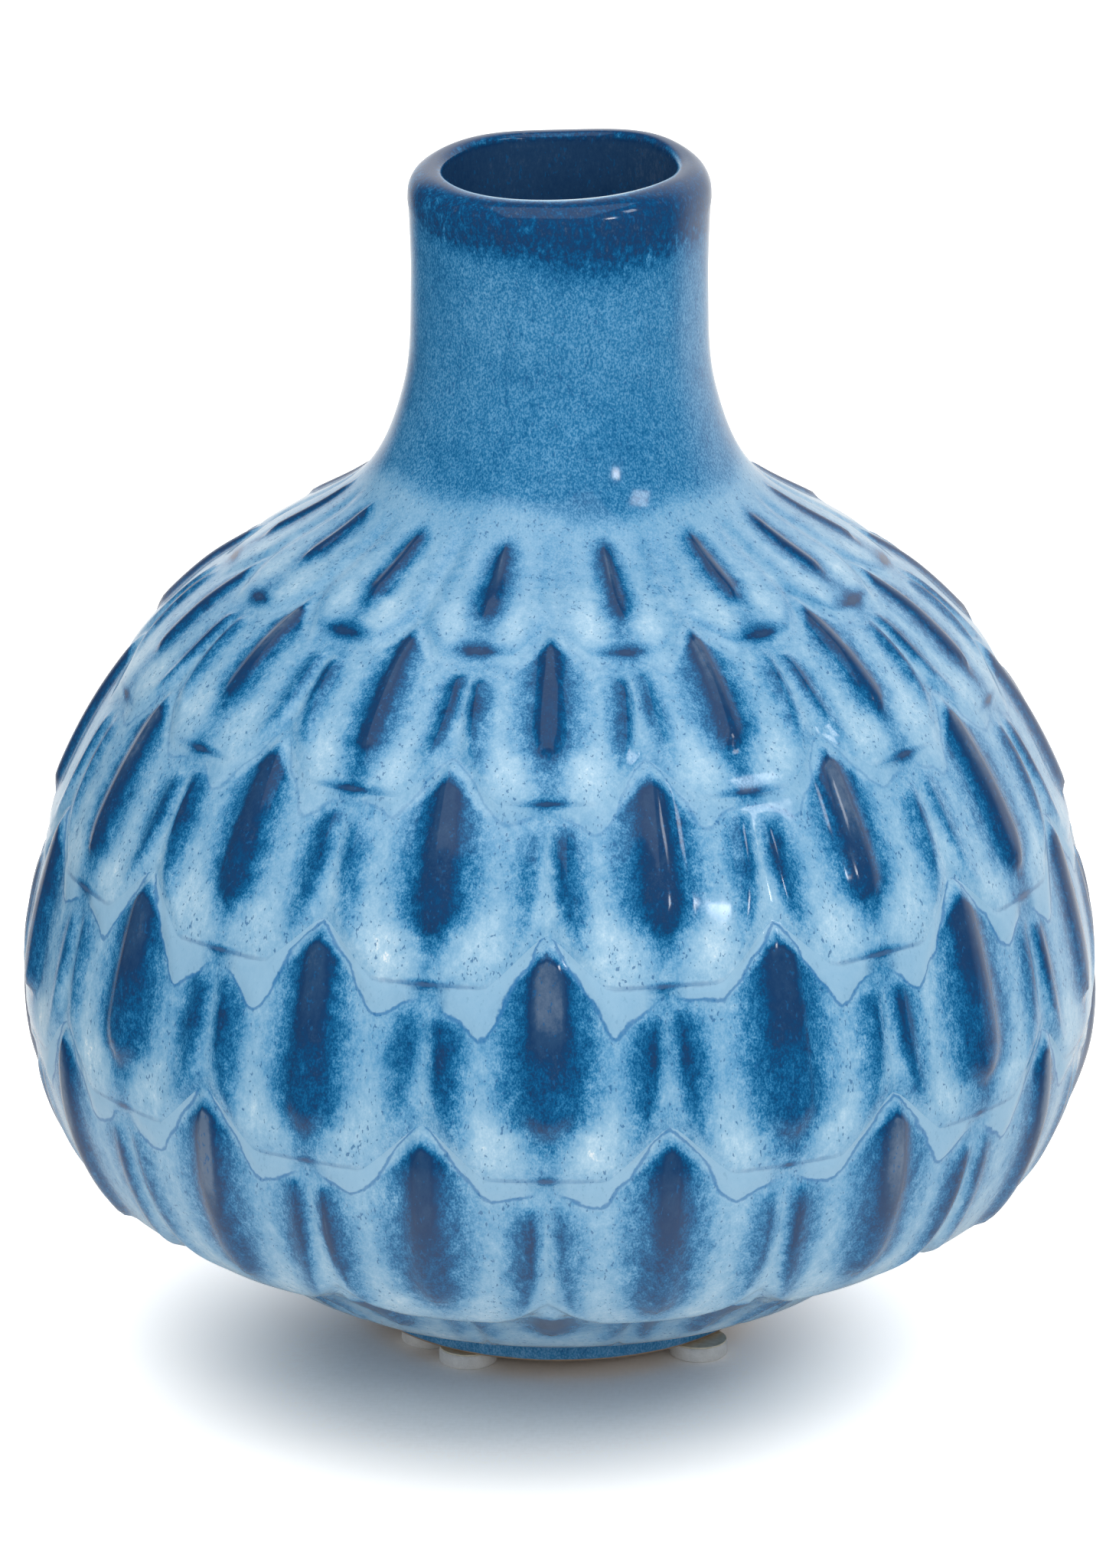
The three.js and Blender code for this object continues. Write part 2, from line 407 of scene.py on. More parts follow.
# The lip's section, from the outer wall over its rounded shoulder to its thin inner edge
LIP_OUTLINE = (
    (20.2, 157.6),
    (20.05, 159.4),
    (19.3, 160.9),
    (17.9, 161.8),
    (16.5, 161.95),
    (15.75, 161.6),
    (15.5, 160.9),
    (15.45, 159.0),
    (15.35, 156.0),
)
LIP_START = 3.0
LIP_TOP = 162.0
LIP_TILT_START = 146.0
# The lip's rise towards +X and towards the front
LIP_TILT = (0.38, -0.62)
# Waves in the lip's top: height, number round the lip and turn
LIP_WAVES = ((0.14, 3, 0.8), (0.08, 5, 2.0), (-0.14, 4, math.pi / 2))
MOUTH_SQUARENESS = 0.008
LIP_RINGS = 40
# The glaze's thinness on the plain parts, and shares of the lip's outline from outside to inside
BAND_THINNESS = 0.85
LIP_CREST_SHARE = 0.47
# Where the painted highlight along the lip's front inner edge lies on its outline, and how far it moves
# outwards at the front
INNER_EDGE_HIGHLIGHT_SHARE = 0.6
INNER_EDGE_HIGHLIGHT_SHIFT = 0.12
INSIDE_THINNESS = 1.16
BASE_THINNESS = 0.8
NECK_THINNESS = 0.5
FOOT_WALL_THINNESS = 0.42
SHOULDER_THINNESS = 0.28
BAND_TURN = math.radians(38)
FOOT_HEIGHT = 2.2
FOOT_RADIUS = 27.3
RECESS_RADIUS = 15.5
RECESS_DEPTH = 1.4
INSIDE_BASE_RADIUS = 22.0
INSIDE_BASE_HEIGHT = 8.6
MIDDLE_RADIUS = 0.6
# Where the hollow's wall starts and ends, down the outer wall, and its number of rings
HOLLOW = (9.0, 184.0)
HOLLOW_RINGS = 44
FIELDS = {
    "thin": 0.5,
    "pool_distance": FAR,
    "pool_mask": 0.0,
    "rim_distance": FAR,
    "beside": FAR,
    "mark_width": 0.1,
    "mark_height": 0.1,
    "rim": 0.0,
    "neck": 0.0,
    "clay": 0.0,
}


def ring(radius, height, columns=COLUMNS, **fields):
    """One closed ring of the mesh with its glaze fields, each a number or one value a column."""
    given = {**FIELDS, **fields, "radius": radius, "height": height}
    return {name: np.broadcast_to(value, (columns,)) for name, value in given.items()}


def tilt(height):
    """The lip is hand-finished: it tips a little, and its top waves."""
    share = np.clip((height - LIP_TILT_START) / (LIP_TOP - LIP_TILT_START), 0, None) ** 2
    wave = sum(size * np.sin(count * angles + turn) for size, count, turn in LIP_WAVES)
    return height + share * (LIP_TILT[0] * np.sin(angles) + LIP_TILT[1] * np.cos(angles) + wave)


def mouth(radius, height):
    """The mouth is slightly squared, and more so towards its top."""
    share = smoothstep(height, 140.0, 161.0) * smoothstep(-radius, -19.0, -15.8)
    squared = 1 - np.cos(4 * angles)
    return radius * (1 + MOUTH_SQUARENESS * share * (0.5 * squared - 0.1))


def neck_glaze(down):
    """The neck's mid blue, darker in an uneven band under the lip and pale where the petals begin."""
    front_right = 0.5 + 0.5 * np.cos(angles - BAND_TURN)
    uneven = 1 + 0.25 * np.sin(2 * angles + 1.0) + 0.18 * np.sin(5 * angles)
    band = 1 - smoothstep(down, 1.5 + 1.5 * front_right * uneven, 5.5 + 4.0 * front_right * uneven)
    edge = 0.9 * np.sin(3 * angles + 0.5) + 0.8 * np.sin(7 * angles)
    pale = smoothstep(down, 37.5 + edge, 42.0 + edge)
    middle = NECK_THINNESS + 0.05 * smoothstep(down, 16, 34)
    top = 0.08 * (1 - smoothstep(down, 6, 16))
    return (middle + top + band * (0.15 + 0.26 * front_right)) * (1 - pale) + SHOULDER_THINNESS * pale


def lip_glaze(share):
    """Bare at the crest away from the front, a painted highlight that pales the glaze to near white along
    the front inner edge, and navy inside.
    """
    front = np.clip(np.cos(angles), 0, 1)
    flow = 0.5 + 0.5 * np.sin(2 * angles + 0.4) * np.cos(3 * angles - 1.0)
    bare = bell(share - LIP_CREST_SHARE, 0.11) * (0.06 + 0.3 * (1 - front) * (0.6 + 0.4 * flow))
    covered = neck_glaze(0.0) * (1 - share) + BAND_THINNESS * share
    # Painted highlight: the glaze is thinned to its palest along the inner edge, strongest at the front and
    # a little to the right
    highlight_strength = np.sqrt(np.clip(0.2 + 0.8 * np.cos(angles - 0.3), 0, 1))
    edge = bell(share - INNER_EDGE_HIGHLIGHT_SHARE + INNER_EDGE_HIGHLIGHT_SHIFT * front, 0.06) * highlight_strength
    inside = smoothstep(share, 0.66, 0.8)
    return (covered + bare) * (1 - edge) * (1 - inside) + INSIDE_THINNESS * inside


def petal_rings():
    """Rings of the petals from the shoulder down. They follow the petals' edges, so steps stay crisp."""
    rings = []
    for row, spec in enumerate(PETAL_ROWS):
        start = row_start(row, angles)
        edge = petal_edge(row, angles)
        count = int(round((spec["tip"] - start.min()) / RING_SPACING))
        petal = []
        for share in np.linspace(0, 1, count):
            down = start + (edge - start) * share
            found = petal_surface(row, angles, down, share)
            found.update(rim_fields(row, angles, down))
            if row == 0:
                found["thin"] += (neck_glaze(down) - found["thin"]) * (1 - smoothstep(down, 42.0, 46.0))
            petal.append(found)
        if row > 0:
            upper = rings[-1]
            run = PETAL_ROWS[row - 1]["run"]
            for share in STEP_SHARES:
                blend = share * share * (3 - 2 * share)
                down = upper["down"] + run * share
                found = {name: upper[name] + (petal[0][name] - upper[name]) * blend
                         for name in ("raised", "thin")}
                found["down"] = down
                found["pool_mask"] = petal[0]["pool_mask"]
                found["pool_distance"] = np.clip(down - pool_line(row - 1, angles), -FAR, FAR)
                found.update(rim_fields(row, angles, down))
                rings.append(found)
        rings.extend(petal)
    return rings


def vase_rings():
    """Every ring from the middle of the underside, up the outside, over the lip and down the inside."""
    rings = []
    underside = (
        (MIDDLE_RADIUS, FOOT_HEIGHT + RECESS_DEPTH),
        (RECESS_RADIUS * 0.5, FOOT_HEIGHT + RECESS_DEPTH),
        (RECESS_RADIUS - 0.4, FOOT_HEIGHT + RECESS_DEPTH),
        (RECESS_RADIUS + 0.3, FOOT_HEIGHT + RECESS_DEPTH - 0.3),
        (RECESS_RADIUS + RECESS_DEPTH - 0.4, FOOT_HEIGHT + 0.15),
        (RECESS_RADIUS + RECESS_DEPTH + 0.3, FOOT_HEIGHT),
        (FOOT_RADIUS - 4.0, FOOT_HEIGHT),
        (FOOT_RADIUS - 1.4, FOOT_HEIGHT),
        (FOOT_RADIUS - 0.6, FOOT_HEIGHT + 0.3),
        (FOOT_RADIUS - 0.1, FOOT_HEIGHT + 0.9),
        (FOOT_RADIUS, FOOT_HEIGHT + 1.6),
        (FOOT_RADIUS + 0.1, FOOT_HEIGHT + 2.4),
    )
    for radius, height in underside:
        clay = smoothstep(FOOT_HEIGHT + 0.9 - height, 0.0, 0.5) + (radius < FOOT_RADIUS - 2)
        rings.append(ring(radius, height, clay=min(float(clay), 1.0), thin=NECK_THINNESS, neck=1.0))
    last_row_end = PETAL_ROWS[-1]["tip"]
    for down in np.linspace(wall.length - 0.2, last_row_end + 1.0, 9):
        fade = 1 - smoothstep(down, last_row_end, last_row_end + 5.0)
        radius, height = wall.point(np.full(COLUMNS, down), 0.2 * fade)
        rings.append(ring(radius, height, thin=FOOT_WALL_THINNESS, neck=0.5))
    for found in reversed(petal_rings()):
        radius, height = wall.point(found.pop("down"), found.pop("raised"))
        found["neck"] = smoothstep(height, 112.0, 120.0)
        rings.append(ring(radius, height, **found))
    for down in np.arange(FIRST_ROW_START - RING_SPACING, LIP_START, -RING_SPACING):
        radius, height = wall.point(np.full(COLUMNS, down), 0.0)
        rings.append(ring(radius, tilt(height), thin=neck_glaze(down), neck=1.0))
    for share, (radius, height) in zip(np.linspace(0, 1, LIP_RINGS), spline(LIP_OUTLINE, LIP_RINGS)):
        rings.append(ring(mouth(radius, height), tilt(height), thin=lip_glaze(share), neck=1.0))
    for down in np.linspace(*HOLLOW, HOLLOW_RINGS):
        radius, height = wall.point(np.full(COLUMNS, down), -SHELL_THICKNESS)
        rings.append(ring(mouth(radius, height), tilt(height), thin=INSIDE_THINNESS, neck=1.0))
    for radius in (INSIDE_BASE_RADIUS + 6, INSIDE_BASE_RADIUS, INSIDE_BASE_RADIUS / 2, MIDDLE_RADIUS):
        height = INSIDE_BASE_HEIGHT + 0.4 * (radius > INSIDE_BASE_RADIUS)
        rings.append(ring(radius, height, thin=BASE_THINNESS, neck=1.0))
    return rings


def ring_mesh(name, rings):
    """A closed mesh of quads through the rings, with a cap on each end and the fields on its points."""
    columns = len(rings[0]["radius"])
    turn = 2 * math.pi * np.arange(columns) / columns
    radius = np.array([r["radius"] for r in rings])
    height = np.array([r["height"] for r in rings])
    points = np.stack([radius * np.sin(turn), -radius * np.cos(turn), height], -1).reshape(-1, 3) * MM
    column = np.arange(columns)
    following = (column + 1) % columns
    faces = []
    for index in range(len(rings) - 1):
        low = index * columns
        high = low + columns
        quads = np.stack([low + column, low + following, high + following, high + column], -1)
        faces.extend(quads.tolist())
    faces.append([int(i) for i in column[::-1]])
    faces.append([int(i) + (len(rings) - 1) * columns for i in column])
    mesh = bpy.data.meshes.new(name)
    mesh.from_pydata(points.tolist(), [], faces)
    mesh.shade_smooth()
    for field in FIELDS:
        values = np.array([r[field] for r in rings], np.float32).reshape(-1)
        layer = mesh.attributes.new(field, "FLOAT", "POINT")
        layer.data.foreach_set("value", values)
    mesh.validate()
    piece = bpy.data.objects.new(name, mesh)
    bpy.context.scene.collection.objects.link(piece)
    return piece


# ---------------------------------------------------------------- node helpers


def srgb(red, green, blue):
    """A screen colour, 0 to 255, as a linear colour."""
    def linear(value):
        value = value / 255
        return value / 12.92 if value <= 0.04045 else ((value + 0.055) / 1.055) ** 2.4
    return (linear(red), linear(green), linear(blue), 1.0)


class Nodes:
    """A node tree, with short calls for the nodes that it uses."""

    def __init__(self, tree):
        self.tree = tree

    def add(self, kind):
        return self.tree.nodes.new("ShaderNode" + kind)

    def link(self, value, socket):
        if isinstance(value, bpy.types.NodeSocket):
            self.tree.links.new(value, socket)
        else:
            socket.default_value = value

    def math(self, operation, *values):
        node = self.add("Math")
        node.operation = operation
        for socket, value in zip(node.inputs, values):
            self.link(value, socket)
        return node.outputs[0]

    def between(self, value, low, high, least=0.0, most=1.0):
        """Least below low and most above high, smoothly."""
        node = self.add("MapRange")
        node.interpolation_type = "SMOOTHSTEP"
        for socket, given in zip(node.inputs, (value, low, high, least, most)):
            self.link(given, socket)
        return node.outputs["Result"]


class Sheet(Nodes):
    """A material's node tree. Its coordinates are in millimetres."""

    def __init__(self, name):
        self.material = bpy.data.materials.new(name)
        self.material.use_nodes = True
        super().__init__(self.material.node_tree)
        self.shader = self.tree.nodes["Principled BSDF"]
        self.place = self.math_vector("SCALE", self.add("TexCoord").outputs["Object"], scale=1 / MM)

    def math_vector(self, operation, first, second=None, scale=None):
        node = self.add("VectorMath")
        node.operation = operation
        self.link(first, node.inputs[0])
        if second is not None:
            self.link(second, node.inputs[1])
        if scale is not None:
            node.inputs["Scale"].default_value = scale
        return node.outputs["Vector"]

    def length(self, vector):
        node = self.add("VectorMath")
        node.operation = "LENGTH"
        self.link(vector, node.inputs[0])
        return node.outputs["Value"]

    def field(self, name):
        node = self.add("Attribute")
        node.attribute_name = name
        return node.outputs["Fac"]

    def less(self, value):
        """One minus the value."""
        return self.math("SUBTRACT", 1.0, value)

    def centred(self, value):
        """The value less a half, so that noise swings either side of zero."""
        return self.math("SUBTRACT", value, 0.5)

    def noise(self, size, detail=2.0, stretch=(1, 1, 1), roughness=0.5):
        """Noise from 0 to 1 with features of that size in millimetres, stretched along the axes."""
        node = self.add("TexNoise")
        scaled = self.math_vector("DIVIDE", self.place, tuple(size * part for part in stretch))
        self.link(scaled, node.inputs["Vector"])
        node.inputs["Scale"].default_value = 1.0
        node.inputs["Detail"].default_value = detail
        node.inputs["Roughness"].default_value = roughness
        return node.outputs[0]

    def ramp(self, value, stops):
        node = self.add("ValToRGB")
        self.link(value, node.inputs["Fac"])
        elements = node.color_ramp.elements
        while len(elements) < len(stops):
            elements.new(0.5)
        for element, (position, color) in zip(elements, stops):
            element.position = position
            element.color = color
        return node.outputs["Color"]

    def mix(self, share, first, second):
        node = self.add("Mix")
        node.data_type = "RGBA"
        self.link(share, node.inputs["Factor"])
        self.link(first, node.inputs[6])
        self.link(second, node.inputs[7])
        return node.outputs[2]

    def bump(self, height, distance, strength=1.0, normal=None):
        node = self.add("Bump")
        node.inputs["Distance"].default_value = distance
        node.inputs["Strength"].default_value = strength
        self.link(height, node.inputs["Height"])
        if normal is not None:
            self.link(normal, node.inputs["Normal"])
        return node.outputs["Normal"]


# ---------------------------------------------------------------- materials

# The glaze from thick to thin. The ramp's full width stands for a thinness of 1.4.
THINNEST = 1.4
GLAZE_STOPS = (
    (0.00, srgb(228, 239, 246)),
    (0.03, srgb(190, 219, 237)),
    (0.08, srgb(172, 207, 230)),
    (0.20, srgb(144, 188, 218)),
    (0.38, srgb(99, 159, 201)),
    (0.54, srgb(49, 125, 174)),
    (0.70, srgb(12, 94, 145)),
    (0.86, srgb(8, 73, 121)),
    (1.02, srgb(22, 59, 101)),
    (1.18, srgb(40, 74, 112)),
    (1.38, srgb(94, 114, 140)),
)
POOL_COLOR = srgb(148, 189, 217)
LINE_COLOR = srgb(50, 116, 172)
RIM_COLOR = srgb(84, 122, 164)
DOT_COLOR = srgb(24, 92, 146)
CLAY_COLORS = (srgb(184, 156, 128), srgb(158, 130, 104))


# The patterns in the glaze: their sizes in millimetres, and how far they move its thinness
GRAIN_SIZE = 0.24
SPECK_SIZE = 0.42
STREAK_SIZE = 0.5
WOBBLE_SIZE = 0.8
BLOTCH_SIZE = 0.9
PATCH_SIZE = 2.4
SWAY_SIZE = 5.0
DRIFT_SIZE = 18.0
DRIFT_SWING = 0.22
THICK_SWING = 0.05
BREAKING_SWING = 0.13
PLAIN_MOTTLING = 0.14
SWING_MOTTLING = 1.6
NECK_CALM = 0.65
BAND_MOTTLING = 0.8
NECK_STREAKS = 0.16
BAND_STREAKS = 0.6
# How bare a petal's tip is, and how dark round that
MARK_THINNESS = 0.3
HALO_THINNESS = 0.3
MARK_BLOTCHES = 2.4
# How a pool of glaze hides what is under it, and how its edge wanders, in millimetres
POOL_OPACITY = 0.8
POOL_WOBBLE = 0.6
POOL_SWAY = 2.6
LINE_OPACITY = 0.62
RIM_WOBBLE = 0.5
# Roughness of the glaze, what its patches add, and what bare clay adds
GLAZE_ROUGHNESS = 0.06
PATCH_ROUGHNESS = 0.08
CLAY_ROUGHNESS = 0.7
# Slow ripples and fine pits in the gloss: sizes in millimetres, depths in metres
RIPPLE_SIZE = 7.0
RIPPLE_DEPTH = 0.0003
PIT_SIZE = 0.9
PIT_DEPTH = 0.000006


def with_tip_marks(s, thin, blotches):
    """The thinness with a small bare mark on each petal's tip, in a darker halo."""
    beside = s.math("DIVIDE", s.field("beside"), s.field("mark_width"))
    below = s.math("DIVIDE", s.field("rim_distance"), s.field("mark_height"))
    reach = s.math("SQRT", s.math("ADD", s.math("POWER", beside, 2.0), s.math("POWER", below, 2.0)))
    reach = s.math("MULTIPLY_ADD", s.centred(blotches), MARK_BLOTCHES, reach)
    mark = s.math("MULTIPLY", s.less(s.between(reach, 0.5, 1.5)), MARK_THINNESS)
    halo = s.math("MULTIPLY", s.less(s.between(reach, 0.7, 3.6)), HALO_THINNESS)
    return s.math("ADD", s.math("ADD", thin, mark), halo)


def mottled(s, thin, patches, blotches):
    """The thinness with its speckle and mottling: calmer on the neck, and streaked on the neck's band."""
    neck = s.field("neck")
    fleck = s.between(s.noise(GRAIN_SIZE, detail=2.0, stretch=(1, 1, 1.5), roughness=0.6), 0.34, 0.66)
    drift = s.noise(DRIFT_SIZE, detail=1.0)
    streaks = s.noise(STREAK_SIZE, detail=2.0, stretch=(1, 1, 2.0), roughness=0.6)
    banded = s.math("MULTIPLY", neck, s.between(thin, 0.62, 0.8))
    banded = s.math("MULTIPLY", banded, s.less(s.between(thin, 0.98, 1.12)))

    swing = s.math("MULTIPLY_ADD", s.between(thin, 0.2, 0.6), BREAKING_SWING, THICK_SWING)
    swing = s.math("MULTIPLY", swing, s.math("SUBTRACT", 1.2, s.between(thin, 0.85, 1.1)))
    calm = s.math("MULTIPLY_ADD", neck, -NECK_CALM, 1.0)
    calm = s.math("MULTIPLY_ADD", banded, BAND_MOTTLING, calm)
    mottling = s.math("MULTIPLY", s.math("MULTIPLY_ADD", swing, SWING_MOTTLING, PLAIN_MOTTLING), calm)
    streaking = s.math("MULTIPLY_ADD", banded, BAND_STREAKS, s.math("MULTIPLY", neck, NECK_STREAKS))

    thin = s.math("MULTIPLY_ADD", s.centred(fleck), swing, thin)
    thin = s.math("MULTIPLY_ADD", s.math("ADD", s.centred(patches), s.centred(blotches)), mottling, thin)
    thin = s.math("MULTIPLY_ADD", s.centred(drift), DRIFT_SWING, thin)
    return s.math("MULTIPLY_ADD", s.centred(streaks), streaking, thin)


def with_pools(s, color, patches):
    """The colour with the pools of opaque glaze, dark pinholes, and a line round pools and rims."""
    pool_mask = s.field("pool_mask")
    wobble = s.centred(s.noise(WOBBLE_SIZE, detail=2.0))
    sway = s.centred(s.noise(SWAY_SIZE, detail=1.0))
    edge = s.math("MULTIPLY_ADD", wobble, POOL_WOBBLE, s.field("pool_distance"))
    edge = s.math("MULTIPLY_ADD", sway, POOL_SWAY, edge)
    pooled = s.math("MULTIPLY", s.less(s.between(edge, -0.4, 0.0)), pool_mask)
    color = s.mix(s.math("MULTIPLY", pooled, POOL_OPACITY), color, POOL_COLOR)

    specks = s.noise(SPECK_SIZE, detail=1.0, stretch=(1, 1, 1.9), roughness=0.6)
    rarity = s.math("MULTIPLY_ADD", patches, -0.34, 0.83)
    dot = s.between(specks, rarity, s.math("ADD", rarity, 0.05))
    dot = s.math("MULTIPLY", dot, s.math("MULTIPLY_ADD", pooled, -0.5, 0.65))
    color = s.mix(dot, color, DOT_COLOR)

    near = s.less(s.between(s.math("ABSOLUTE", edge), 0.1, 0.36))
    line = s.math("MULTIPLY", near, s.math("MULTIPLY_ADD", pool_mask, LINE_OPACITY, 0.05))
    color = s.mix(line, color, LINE_COLOR)
    rim_edge = s.math("MULTIPLY_ADD", wobble, RIM_WOBBLE, s.field("rim_distance"))
    rim = s.math("MULTIPLY", s.less(s.between(rim_edge, 0.05, 0.5)), s.field("rim"))
    return s.mix(rim, color, RIM_COLOR)


def glaze_material():
    """Reactive glaze: pale and opaque where it pools, speckled navy where it breaks over the ridges."""
    s = Sheet("reactive_glaze")
    patches = s.noise(PATCH_SIZE, detail=3.0, stretch=(1, 1, 1.5))
    blotches = s.noise(BLOTCH_SIZE, detail=2.0, stretch=(1, 1, 1.4))
    thin = with_tip_marks(s, s.field("thin"), blotches)
    thin = mottled(s, thin, patches, blotches)
    stops = [(position / THINNEST, color) for position, color in GLAZE_STOPS]
    color = s.ramp(s.math("DIVIDE", thin, THINNEST), stops)
    color = with_pools(s, color, patches)

    clay_edge = s.math("MULTIPLY_ADD", s.centred(patches), 0.5, s.field("clay"))
    clay = s.between(clay_edge, 0.4, 0.6)
    clay_color = s.mix(s.noise(0.5, detail=4.0), *CLAY_COLORS)
    s.link(s.mix(clay, color, clay_color), s.shader.inputs["Base Color"])

    gloss = s.math("MULTIPLY_ADD", patches, PATCH_ROUGHNESS, GLAZE_ROUGHNESS)
    s.link(s.math("MULTIPLY_ADD", clay, CLAY_ROUGHNESS, gloss), s.shader.inputs["Roughness"])
    ripple = s.bump(s.noise(RIPPLE_SIZE, detail=0.0), RIPPLE_DEPTH, 0.5)
    pits = s.bump(s.noise(PIT_SIZE, detail=0.0), PIT_DEPTH, 0.5, ripple)
    s.link(pits, s.shader.inputs["Normal"])
    return s.material


def felt_material():
    """Pressed white felt: a matted mesh of fibres, with painted shade that greys it in the pits of its
    bump, and random lighter and darker clumps.
    """
    s = Sheet("white_felt")
    fibres = s.noise(0.16, detail=5.0, stretch=(1, 3.0, 1), roughness=0.7)
    crossing = s.noise(0.16, detail=5.0, stretch=(3.0, 1, 1), roughness=0.7)
    mat = s.math("MULTIPLY", s.math("ADD", fibres, crossing), 0.5)
    clumps = s.noise(1.1, detail=2.0)
    # Painted shade: the colour greys where the fibre bump is low, mixed with random clumps of tone
    shade = s.math("MULTIPLY_ADD", clumps, 0.4, s.math("MULTIPLY", mat, 0.6))
    color = s.ramp(shade, [(0.3, srgb(206, 207, 206)), (0.7, srgb(240, 241, 240))])
    s.link(color, s.shader.inputs["Base Color"])
    s.shader.inputs["Roughness"].default_value = 0.95
    s.shader.inputs["Sheen Weight"].default_value = 0.3
    s.link(s.bump(mat, 0.00025, 0.9), s.shader.inputs["Normal"])
    return s.material


def adhesive_material():
    """A translucent, slightly yellowed film of adhesive."""
    s = Sheet("adhesive_film")
    color = s.ramp(s.noise(0.7, detail=3.0), [(0.3, srgb(196, 186, 160)), (0.7, srgb(218, 212, 194))])
    s.link(color, s.shader.inputs["Base Color"])
    s.link(s.math("MULTIPLY_ADD", s.noise(0.4), 0.3, 0.35), s.shader.inputs["Roughness"])
    return s.material


# The floor carries a painted glow, seen only by the camera, that turns it pure white over the glow's span
# from the shadow's middle and so sets how far the shadow reaches. It leaves the glaze's reflections over
# FLOOR_MIRRORED from the vase's middle, in millimetres
SHADOW_CENTRE = (-6.0, -25.0, 0.0)
FLOOR_PAINTED_GLOW = (20.0, 84.0)
FLOOR_MIRRORED = (85.0, 230.0)


def floor_material():
    """White sweep of fine cloth: a painted glow, seen only by the camera, makes it pure white away from the
    vase and sets the shadow's reach; further out the glaze no longer mirrors it.
    """
    s = Sheet("white_sweep")
    threads = s.noise(0.45, detail=2.0, stretch=(4, 1, 1))
    crossing = s.noise(0.45, detail=2.0, stretch=(1, 4, 1))
    weave = s.math("ADD", threads, crossing)
    color = s.ramp(s.math("MULTIPLY", weave, 0.5), [(0.3, srgb(244, 242, 238)), (0.7, srgb(253, 251, 248))])
    s.link(color, s.shader.inputs["Base Color"])
    path = s.add("LightPath")
    # Painted light: an emission glow that only the camera sees brightens the floor to pure white away from
    # the shadow's middle
    from_shadow = s.length(s.math_vector("SUBTRACT", s.place, SHADOW_CENTRE))
    painted_glow = s.math("MULTIPLY", s.between(from_shadow, *FLOOR_PAINTED_GLOW), path.outputs["Is Camera Ray"])
    s.link(painted_glow, s.shader.inputs["Emission Strength"])
    hidden = s.between(s.length(s.place), *FLOOR_MIRRORED)
    s.link(s.less(s.math("MULTIPLY", hidden, path.outputs["Is Glossy Ray"])), s.shader.inputs["Alpha"])
    s.shader.inputs["Emission Color"].default_value = (1, 1, 1, 1)
    s.shader.inputs["Roughness"].default_value = 0.9
    s.shader.inputs["Specular IOR Level"].default_value = 0.1
    return s.material


# ---------------------------------------------------------------- pieces


def make_vase():
    vase = ring_mesh("vase_body_glazed", vase_rings())
    vase.data.materials.append(glaze_material())
    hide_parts("vase_body")
    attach(vase, "root")


PAD_PLACES = ("front_left", "front_right", "left", "back")
FELT_COLUMNS = 96
FELT_EDGE = 0.35
FELT_CORNER = 0.3 * FELT_EDGE
FELT_MIDDLE = 0.3
FELT_WAVES = 5
FELT_WAVE_HEIGHT = 0.02
FELT_FUZZ = 0.035
FELT_INSET = 0.1


def make_felt(node, seed, material):
    """A punched felt disc in the place of its CAD node: soft edges, and a slightly uneven, matted side."""
    low, high = (Vector(corner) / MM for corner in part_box(node))
    centre = (low + high) / 2
    radius = (high.x - low.x) / 2
    random = np.random.default_rng(seed)
    turn = 2 * math.pi * np.arange(FELT_COLUMNS) / FELT_COLUMNS
    phases = random.uniform(0, 2 * math.pi, FELT_WAVES)
    outline = (
        (FELT_MIDDLE, low.z),
        (radius / 2, low.z),
        (radius - FELT_EDGE, low.z),
        (radius - FELT_CORNER, low.z + FELT_CORNER),
        (radius, low.z + FELT_EDGE),
        (radius, centre.z),
        (radius, high.z - FELT_EDGE),
        (radius - FELT_CORNER, high.z - FELT_CORNER),
        (radius - FELT_EDGE, high.z),
        (radius / 2, high.z),
        (FELT_MIDDLE, high.z),
    )
    rings = []
    for ring_radius, height in outline:
        outer = ring_radius > radius - FELT_EDGE * 0.99
        ripple = sum(np.sin(count * turn + phase) for count, phase in enumerate(phases, start=2))
        fuzz = random.uniform(-FELT_FUZZ, 0.0, FELT_COLUMNS) * outer
        radii = ring_radius + (FELT_WAVE_HEIGHT * ripple - FELT_INSET) * outer + fuzz
        rings.append(ring(radii, height, columns=FELT_COLUMNS))
    piece = ring_mesh("felt_" + node, rings)
    piece.data.transform(Matrix.Translation((centre.x * MM, centre.y * MM, 0)))
    piece.data.materials.append(material)
    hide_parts(node)
    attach(piece, "root")


def dress_cad_node(node, material):
    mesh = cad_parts[node].data
    mesh.materials.clear()
    mesh.materials.append(material)


# ---------------------------------------------------------------- studio

# Distances in metres, turns in degrees. The lens and the sensor are in millimetres.
CAMERA_DISTANCE = 1.3
CAMERA_ELEVATION = 18.0
CAMERA_AZIMUTH = 1.4
CAMERA_PIVOT_HEIGHT = 0.0802
AIM_HEIGHT = 0.0756
LENS = 221.2
SENSOR = 36.0
SOFTBOXES = (
    dict(name="key_softbox", azimuth=40, elevation=25, distance=1.6, width=0.15, height=0.12, power=0.9),
    dict(name="side_softbox", azimuth=60, elevation=38, distance=1.8, width=0.3, height=0.3, power=1.6),
    dict(name="top_softbox", azimuth=-10, elevation=72, distance=2.0, width=2.4, height=2.4, power=12.0),
    dict(name="front_fill", azimuth=10, elevation=40, distance=2.0, width=1.6, height=1.6, power=10.0,
         mirrored=False),
)


def polar(distance, azimuth, elevation, centre_height):
    """A point round the vase: azimuth from the front towards +X, in degrees."""
    turn = math.radians(azimuth)
    lift = math.radians(elevation)
    flat = distance * math.cos(lift)
    height = centre_height + distance * math.sin(lift)
    return Vector((flat * math.sin(turn), -flat * math.cos(turn), height))


def aim(thing, target):
    direction = Vector(target) - thing.location
    thing.rotation_euler = direction.to_track_quat("-Z", "Y").to_euler()


